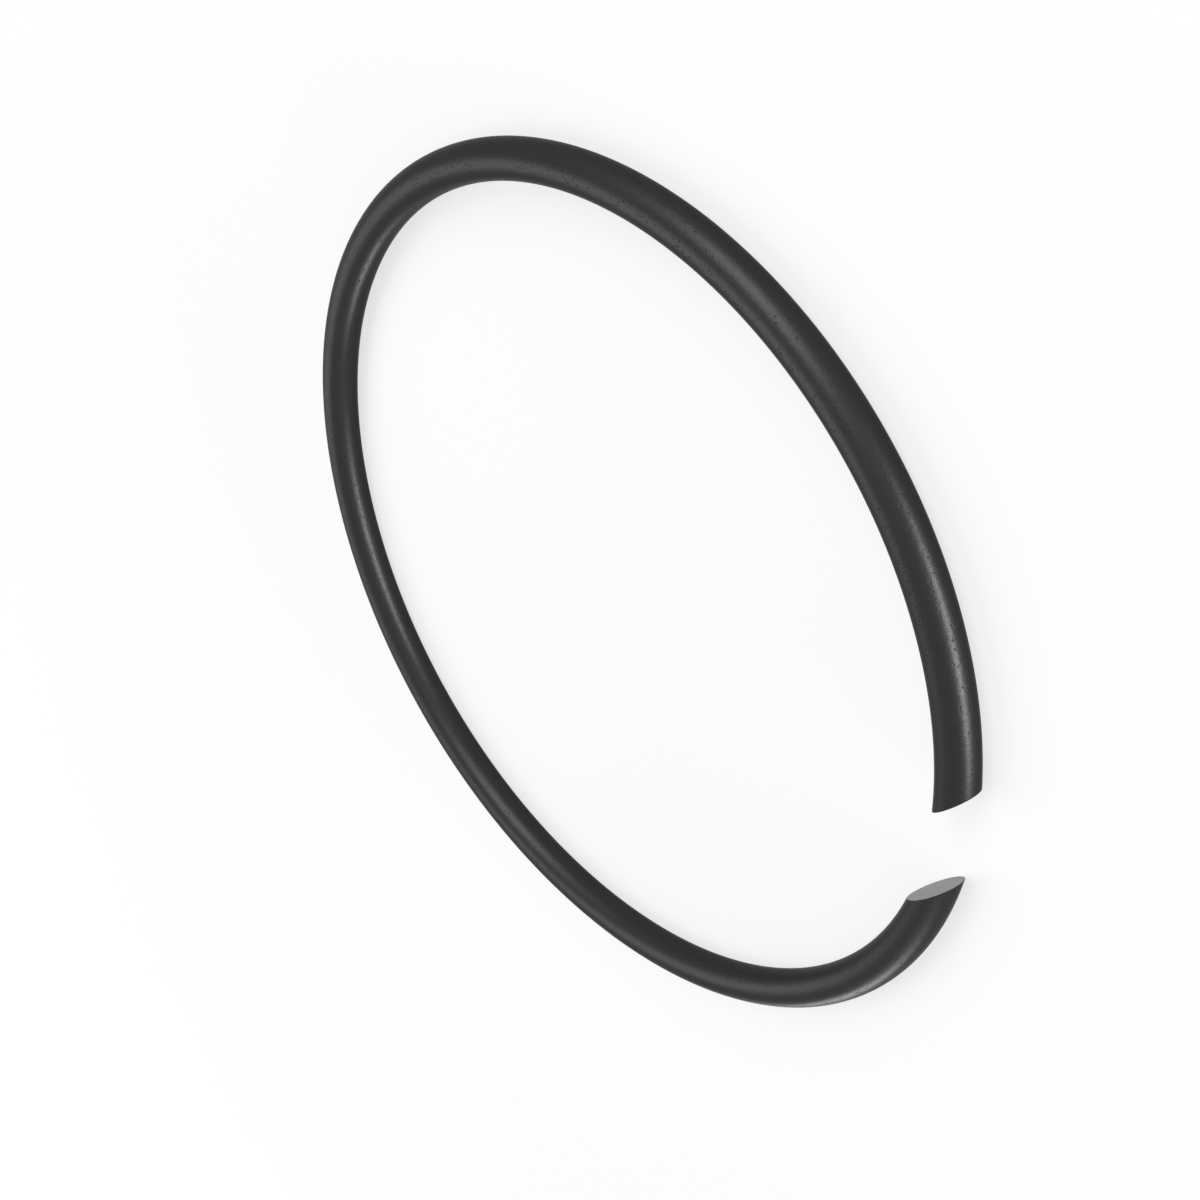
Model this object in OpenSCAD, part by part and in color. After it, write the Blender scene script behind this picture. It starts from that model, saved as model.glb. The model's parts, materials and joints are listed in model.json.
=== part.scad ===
// Round-wire retaining ring: one turn of hard-drawn spring wire, left open by an oblique gap.
// It is squeezed or spread at the gap, sprung into a groove, and then stops what lies against it.
// The ring lies flat. The origin is the ring's centre on the wire's mid-plane, and +X points
// through the middle of the gap.

/* [Wire] */
// Diameter of the round spring wire
wire_d = 2; // [1:0.1:3.2]

/* [Ring] */
// Inside diameter of the ring, free of load
inner_d = 43; // [36:0.5:80]

/* [Gap] */
// Width of the gap, square to the two cut faces
gap_w = 3.6; // [1:0.1:6]
// Slant of the gap: its turn, seen from above, from the radius through its middle
cut_angle = 49; // [0:1:54]

/* [Hidden] */
$fn = 180;

// Radius of the circle that the wire's centre follows
coil_r = (inner_d + wire_d) / 2;
// Half of the straight line that the slanted gap draws across that circle. The cut stops there,
// so it parts the wire once and stays clear of the far side.
cut_reach = coil_r * cos(cut_angle);
// The cut runs well past the top and bottom of the wire
cut_h = 2 * wire_d;

// The closed hoop of wire, wound round the Z axis
module wire_hoop() {
    rotate_extrude()
        translate([coil_r, 0])
            circle(d = wire_d);
}

// What a parting wheel removes: two flat faces, parallel to each other and to the ring's axis
module slanted_gap() {
    translate([coil_r, 0, 0])
        rotate([0, 0, cut_angle])
            cube([2 * cut_reach, gap_w, cut_h], center = true);
}

// The open ring: a blackened wire with bare cut ends
module retaining_ring() {
    color("#38383a")
        difference() {
            wire_hoop();
            slanted_gap();
        }
}

retaining_ring();
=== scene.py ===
import json
import math

import bmesh
import bpy
from mathutils import Matrix, Vector


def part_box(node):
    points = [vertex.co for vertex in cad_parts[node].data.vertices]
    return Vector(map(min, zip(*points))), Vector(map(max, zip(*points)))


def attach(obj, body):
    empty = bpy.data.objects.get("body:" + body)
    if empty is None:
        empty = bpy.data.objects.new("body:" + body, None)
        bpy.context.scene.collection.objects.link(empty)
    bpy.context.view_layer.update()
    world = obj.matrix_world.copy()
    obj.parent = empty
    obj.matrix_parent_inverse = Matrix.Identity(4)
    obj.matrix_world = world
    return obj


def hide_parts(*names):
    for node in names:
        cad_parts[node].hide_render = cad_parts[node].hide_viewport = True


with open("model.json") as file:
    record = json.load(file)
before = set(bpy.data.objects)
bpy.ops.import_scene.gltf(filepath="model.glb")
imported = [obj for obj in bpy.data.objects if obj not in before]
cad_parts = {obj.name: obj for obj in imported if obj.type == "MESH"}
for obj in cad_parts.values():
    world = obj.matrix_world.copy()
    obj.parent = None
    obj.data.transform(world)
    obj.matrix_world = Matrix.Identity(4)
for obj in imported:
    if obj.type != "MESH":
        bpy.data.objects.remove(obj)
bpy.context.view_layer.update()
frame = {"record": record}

# The ring: one turn of hard-drawn spring steel wire, coiled on a mandrel so that its section
# stays round, then parted at a slant by a thin wheel that leaves two flat, parallel ends.
# It is one solid piece that lies flat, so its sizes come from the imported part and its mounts.
MM = 0.001
ring_low, ring_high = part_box("retaining_ring")
wire_r = (ring_high.z - ring_low.z) / 2
coil_r = -ring_low.x - wire_r
mounts = {mount["name"]: mount for mount in frame["record"]["mounts"]}
upper_face = Vector(mounts["end_face_upper"]["pos_m"])
lower_face = Vector(mounts["end_face_lower"]["pos_m"])
face_normal = Vector(mounts["end_face_lower"]["axis"]).normalized()
face_bearing = math.atan2(face_normal.y, face_normal.x)
sections = 1200
section_points = 72
edge_break = 0.035 * MM


def end_angle(radius, face_point):
    """Where, round the ring, a line of the wire at this radius meets one cut face."""
    reach = face_point.dot(face_normal) / radius
    return face_bearing - math.acos(reach)


def wire_point(around, along):
    """A point on the wire's skin: around its section from 0 to 1, along the turn from 0 to 1."""
    turn = 2 * math.pi * around
    radius = coil_r + wire_r * math.cos(turn)
    start = end_angle(radius, upper_face)
    stop = end_angle(radius, lower_face) + 2 * math.pi
    angle = start + along * (stop - start)
    return Vector((radius * math.cos(angle), radius * math.sin(angle), wire_r * math.sin(turn)))


ring_mesh = bmesh.new()
rims = [[ring_mesh.verts.new(wire_point(j / section_points, i / sections))
         for j in range(section_points)] for i in range(sections + 1)]
for i in range(sections):
    for j in range(section_points):
        across = (j + 1) % section_points
        skin = ring_mesh.faces.new((rims[i][j], rims[i][across],
                                    rims[i + 1][across], rims[i + 1][j]))
        skin.smooth = True
for rim in (rims[0], rims[-1]):
    cut = ring_mesh.faces.new(rim)
    cut.material_index = 1
bmesh.ops.recalc_face_normals(ring_mesh, faces=ring_mesh.faces)
rim_edges = [edge for edge in ring_mesh.edges
             if len({face.material_index for face in edge.link_faces}) == 2]
broken = bmesh.ops.bevel(ring_mesh, geom=rim_edges, offset=edge_break, segments=3,
                         profile=0.5, affect="EDGES", material=0)
for face in broken["faces"]:
    face.smooth = False
ring_data = bpy.data.meshes.new("retaining_ring_wire")
ring_mesh.to_mesh(ring_data)
ring_mesh.free()
ring = bpy.data.objects.new("retaining_ring_wire", ring_data)
bpy.context.scene.collection.objects.link(ring)

# Each point's place on the wire as it was drawn, straight: out, up and along, in metres.
straight_wire = ring_data.attributes.new("straight_wire", "FLOAT_VECTOR", "POINT")
for vertex, place in zip(ring_data.vertices, straight_wire.data):
    x, y, z = vertex.co
    place.vector = (math.hypot(x, y) - coil_r, z, coil_r * (math.atan2(y, x) % (2 * math.pi)))


def linear(hex_colour):
    """An sRGB hex colour as the linear values that a shader takes."""
    channels = [int(hex_colour[k:k + 2], 16) / 255 for k in (1, 3, 5)]
    return [c / 12.92 if c <= 0.04045 else ((c + 0.055) / 1.055) ** 2.4 for c in channels] + [1.0]


def add(finish, kind, settings, inputs):
    """Adds a node with its settings, and its inputs set or linked by name or number."""
    node = finish.node_tree.nodes.new(kind)
    for name, value in settings.items():
        setattr(node, name, value)
    for key, value in inputs.items():
        if isinstance(value, bpy.types.NodeSocket):
            finish.node_tree.links.new(value, node.inputs[key])
        else:
            node.inputs[key].default_value = value
    return node


# Black oxide on drawn spring steel, kept in oil: a thin, dark, neutral skin on the metal, satin
# all over. A fine grain and the faint lines of the drawing die break up its reflections, and
# small pits in loose patches show as dark specks wherever the ring is bright; the floor of each
# pit is also coloured a little darker, as painted shade in the hollow.
black_oxide = bpy.data.materials.new("black_oxide_spring_steel")
black_oxide.use_nodes = True
black_oxide.node_tree.nodes.clear()
on_wire = add(black_oxide, "ShaderNodeAttribute", {"attribute_name": "straight_wire"}, {})
grain_size = 0.14 * MM
grain = add(black_oxide, "ShaderNodeTexNoise", {},
            {"Vector": on_wire.outputs["Vector"], "Scale": 1 / grain_size,
             "Detail": 2, "Roughness": 0.5})
# Lines 0.07 mm apart and some 4 mm long; real ones are half as far apart, too fine to show.
line_gap = 0.07 * MM
line_stretch = 60
drawn = add(black_oxide, "ShaderNodeMapping", {},
            {"Vector": on_wire.outputs["Vector"], "Scale": (1, 1, 1 / line_stretch)})
lines = add(black_oxide, "ShaderNodeTexNoise", {},
            {"Vector": drawn.outputs["Vector"], "Scale": 1 / line_gap, "Detail": 2})
# Pits about 0.1 mm across with ragged outlines, at most one to each 0.22 mm cell. A cell has
# one where its own random shade is above the cutoff.
pit_spacing = 0.22 * MM
pit_r = 0.075 * MM
pit_cutoff = 0.52
rag_size = 0.1 * MM
rag = add(black_oxide, "ShaderNodeTexNoise", {},
          {"Vector": on_wire.outputs["Vector"], "Scale": 1 / rag_size, "Detail": 1})
ragged = add(black_oxide, "ShaderNodeVectorMath", {"operation": "MULTIPLY_ADD"},
             {0: rag.outputs["Color"], 1: (rag_size, rag_size, rag_size),
              2: on_wire.outputs["Vector"]})
cells = add(black_oxide, "ShaderNodeTexVoronoi", {},
            {"Vector": ragged.outputs["Vector"], "Scale": 1 / pit_spacing})
hollow = add(black_oxide, "ShaderNodeMapRange", {"interpolation_type": "SMOOTHSTEP"},
             {"Value": cells.outputs["Distance"], "From Min": pit_r / pit_spacing,
              "From Max": 0.2 * pit_r / pit_spacing})
pitted_cell = add(black_oxide, "ShaderNodeMath", {"operation": "GREATER_THAN"},
                  {0: cells.outputs["Color"], 1: pit_cutoff})
# The pits come in patches a few millimetres across, with clean wire between them.
patch_size = 3.5 * MM
patches = add(black_oxide, "ShaderNodeTexNoise", {},
              {"Vector": on_wire.outputs["Vector"], "Scale": 1 / patch_size, "Detail": 1})
patch = add(black_oxide, "ShaderNodeMapRange", {"interpolation_type": "SMOOTHSTEP"},
            {"Value": patches.outputs["Fac"], "From Min": 0.3, "From Max": 0.5})
chosen = add(black_oxide, "ShaderNodeMath", {"operation": "MULTIPLY"},
             {0: pitted_cell.outputs["Value"], 1: patch.outputs["Result"]})
pit = add(black_oxide, "ShaderNodeMath", {"operation": "MULTIPLY"},
          {0: hollow.outputs["Result"], 1: chosen.outputs["Value"]})
# The relief, in millimetres.
line_high = 0.002
grain_high = 0.008
pit_deep = 0.008
line_height = add(black_oxide, "ShaderNodeMath", {"operation": "MULTIPLY"},
                  {0: lines.outputs["Fac"], 1: line_high})
grain_height = add(black_oxide, "ShaderNodeMath", {"operation": "MULTIPLY_ADD"},
                   {0: grain.outputs["Fac"], 1: grain_high, 2: line_height.outputs["Value"]})
height = add(black_oxide, "ShaderNodeMath", {"operation": "MULTIPLY_ADD"},
             {0: pit.outputs["Value"], 1: -pit_deep, 2: grain_height.outputs["Value"]})
relief = add(black_oxide, "ShaderNodeBump", {}, {"Height": height.outputs["Value"], "Distance": MM})
# Painted shade: a pit's floor gets a darker colour than the skin, which stands in for the shade
# inside the hollow.
colour = add(black_oxide, "ShaderNodeMix", {"data_type": "RGBA"},
             {0: pit.outputs["Value"], 6: linear("#333333"), 7: linear("#2a2a2a")})
# The sheen follows the grain a little, and the floor of a pit is duller than the skin.
pit_dullness = 0.15
dull_grain = add(black_oxide, "ShaderNodeMapRange", {},
                 {"Value": grain.outputs["Fac"], "From Min": 0.3, "From Max": 0.7,
                  "To Min": 0.37, "To Max": 0.42})
dull = add(black_oxide, "ShaderNodeMath", {"operation": "MULTIPLY_ADD", "use_clamp": True},
           {0: pit.outputs["Value"], 1: pit_dullness, 2: dull_grain.outputs["Result"]})
# The grey specular tint keeps the wire's rims from going as white as those of clean metal.
oxide_skin = add(black_oxide, "ShaderNodeBsdfPrincipled", {},
                 {"Base Color": colour.outputs[2], "Metallic": 1.0,
                  "Roughness": dull.outputs["Value"], "Normal": relief.outputs["Normal"],
                  "Specular Tint": (0.58, 0.58, 0.58, 1)})
add(black_oxide, "ShaderNodeOutputMaterial", {}, {"Surface": oxide_skin.outputs["BSDF"]})
ring_data.materials.append(black_oxide)

# Bare steel on the parted ends: the wheel leaves a flat, dull, mid-grey face, lightly mottled,
# with fine level scores that run across it the way the wheel went through.
parted_steel = bpy.data.materials.new("parted_bare_steel")
parted_steel.use_nodes = True
parted_steel.node_tree.nodes.clear()
in_space = add(parted_steel, "ShaderNodeTexCoord", {}, {})
# Turned so that X runs along the face; a score is 0.05 mm wide and a millimetre or more long.
score_gap = 0.05 * MM
score_stretch = 25
mottle_size = 0.16 * MM
along_face = add(parted_steel, "ShaderNodeMapping", {"vector_type": "TEXTURE"},
                 {"Vector": in_space.outputs["Object"], "Scale": (score_stretch, 1, 1),
                  "Rotation": (0, 0, face_bearing + math.pi / 2)})
scores = add(parted_steel, "ShaderNodeTexNoise", {},
             {"Vector": along_face.outputs["Vector"], "Scale": 1 / score_gap, "Detail": 2})
mottle = add(parted_steel, "ShaderNodeTexNoise", {},
             {"Vector": in_space.outputs["Object"], "Scale": 1 / mottle_size, "Detail": 3})
worn = add(parted_steel, "ShaderNodeMath", {"operation": "MULTIPLY_ADD"},
           {0: scores.outputs["Fac"], 1: 0.5, 2: mottle.outputs["Fac"]})
tone = add(parted_steel, "ShaderNodeMapRange", {},
           {"Value": worn.outputs["Value"], "From Min": 0.55, "From Max": 0.95})
face_colour = add(parted_steel, "ShaderNodeMix", {"data_type": "RGBA"},
                  {0: tone.outputs["Result"], 6: linear("#7e7e7e"), 7: linear("#8f8f8f")})
score_relief = add(parted_steel, "ShaderNodeBump", {},
                   {"Height": worn.outputs["Value"], "Distance": 0.003 * MM})
cut_face = add(parted_steel, "ShaderNodeBsdfPrincipled", {},
               {"Base Color": face_colour.outputs[2], "Metallic": 1.0, "Roughness": 0.5,
                "Normal": score_relief.outputs["Normal"]})
add(parted_steel, "ShaderNodeOutputMaterial", {}, {"Surface": cut_face.outputs["BSDF"]})
ring_data.materials.append(parted_steel)

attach(ring, "root")
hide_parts("retaining_ring")

# The floor that the ring lies on: a matt white card, far wider than the view. Seen straight, or
# in metal or glass, it is mostly plain white, so that it meets the white studio without a line,
# and round the ring it keeps the soft shadow.
card_r = 3.0
shadow_r = 45 * MM
plain_r = 160 * MM
plain_part_near = 0.7
card_mesh = bmesh.new()
bmesh.ops.create_circle(card_mesh, cap_ends=True, radius=card_r, segments=64,
                        matrix=Matrix.Translation((0, 0, ring_low.z)))
card_data = bpy.data.meshes.new("white_card")
card_mesh.to_mesh(card_data)
card_mesh.free()
card = bpy.data.objects.new("white_card", card_data)
bpy.context.scene.collection.objects.link(card)
matt_card = bpy.data.materials.new("matt_white_card")
matt_card.use_nodes = True
matt_card.node_tree.nodes.clear()
paper = add(matt_card, "ShaderNodeBsdfDiffuse", {}, {"Color": linear("#f8f8f8")})
plain_white = add(matt_card, "ShaderNodeEmission", {}, {"Color": linear("#ffffff"), "Strength": 1.0})
card_ray = add(matt_card, "ShaderNodeLightPath", {}, {})
card_straight = add(matt_card, "ShaderNodeMath", {"operation": "MAXIMUM"},
                    {0: card_ray.outputs["Is Camera Ray"], 1: card_ray.outputs["Is Glossy Ray"]})
card_seen = add(matt_card, "ShaderNodeMath", {"operation": "MAXIMUM"},
                {0: card_straight.outputs["Value"], 1: card_ray.outputs["Is Transmission Ray"]})
card_place = add(matt_card, "ShaderNodeTexCoord", {}, {})
from_ring = add(matt_card, "ShaderNodeVectorMath", {"operation": "LENGTH"},
                {0: card_place.outputs["Object"]})
plain_part = add(matt_card, "ShaderNodeMapRange", {"interpolation_type": "SMOOTHSTEP"},
                 {"Value": from_ring.outputs["Value"], "From Min": shadow_r,
                  "From Max": plain_r, "To Min": plain_part_near, "To Max": 1.0})
white_share = add(matt_card, "ShaderNodeMath", {"operation": "MULTIPLY"},
                  {0: card_seen.outputs["Value"], 1: plain_part.outputs["Result"]})
card_surface = add(matt_card, "ShaderNodeMixShader", {},
                   {0: white_share.outputs["Value"], 1: paper.outputs["BSDF"],
                    2: plain_white.outputs["Emission"]})
add(matt_card, "ShaderNodeOutputMaterial", {}, {"Surface": card_surface.outputs["Shader"]})
card_data.materials.append(matt_card)

# The light: an even white studio, a large soft lamp on one side of the camera, another across
# from it, and on its other side two low strips that draw the streaks along the wire's sides.
studio = bpy.data.worlds.new("white_studio")
studio.use_nodes = True
studio.node_tree.nodes.clear()
bpy.context.scene.world = studio
studio_light = 0.42
studio_ray = add(studio, "ShaderNodeLightPath", {}, {})
studio_straight = add(studio, "ShaderNodeMath", {"operation": "MAXIMUM"},
                      {0: studio_ray.outputs["Is Camera Ray"],
                       1: studio_ray.outputs["Is Glossy Ray"]})
studio_seen = add(studio, "ShaderNodeMath", {"operation": "MAXIMUM"},
                  {0: studio_straight.outputs["Value"],
                   1: studio_ray.outputs["Is Transmission Ray"]})
studio_level = add(studio, "ShaderNodeMapRange", {},
                   {"Value": studio_seen.outputs["Value"], "To Min": studio_light})
walls = add(studio, "ShaderNodeBackground", {},
            {"Color": linear("#ffffff"), "Strength": studio_level.outputs["Result"]})
add(studio, "ShaderNodeOutputWorld", {}, {"Surface": walls.outputs["Background"]})


def soft_lamp(name, bearing, rise, distance, width, height, brightness):
    """A soft oval lamp that faces the ring's centre: angles in degrees, lengths in metres."""
    turn, lift = math.radians(bearing), math.radians(rise)
    away = Vector((math.cos(turn) * math.cos(lift), math.sin(turn) * math.cos(lift),
                   math.sin(lift)))
    lamp = bpy.data.lights.new(name, "AREA")
    lamp.shape = "ELLIPSE"
    lamp.size = width
    lamp.size_y = height
    area = math.pi * width * height / 4
    lamp.energy = brightness * math.pi * area
    holder = bpy.data.objects.new(name, lamp)
    holder.location = away * distance
    holder.rotation_euler = away.to_track_quat("Z", "Y").to_euler()
    bpy.context.scene.collection.objects.link(holder)


soft_lamp("main_lamp", 92, 36, 0.45, 0.28, 0.38, 4.3)
soft_lamp("back_lamp", -152, 45, 0.45, 0.30, 0.44, 2.3)
soft_lamp("low_front_lamp", 4, 3.3, 0.4, 0.45, 0.042, 42)
soft_lamp("low_side_lamp", -84, 3.3, 0.4, 0.17, 0.042, 37)

# The camera looks down on the ring from the side of its gap, rolled as the photograph is.
camera_bearing = math.radians(47.42)
camera_rise = math.radians(32.64)
camera_distance = 3.7549 * coil_r
camera_roll = math.radians(-118.7)
toward_camera = Vector((math.cos(camera_bearing) * math.cos(camera_rise),
                        math.sin(camera_bearing) * math.cos(camera_rise),
                        math.sin(camera_rise)))
camera_data = bpy.data.cameras.new("camera")
camera_data.sensor_width = 36
camera_data.lens = 49.68
camera_data.clip_start = 1 * MM
camera = bpy.data.objects.new("camera", camera_data)
camera.matrix_world = (Matrix.Translation(toward_camera * camera_distance)
                       @ toward_camera.to_track_quat("Z", "Y").to_matrix().to_4x4()
                       @ Matrix.Rotation(camera_roll, 4, "Z"))
bpy.context.scene.collection.objects.link(camera)
bpy.context.scene.camera = camera
bpy.context.scene.view_settings.view_transform = "Standard"
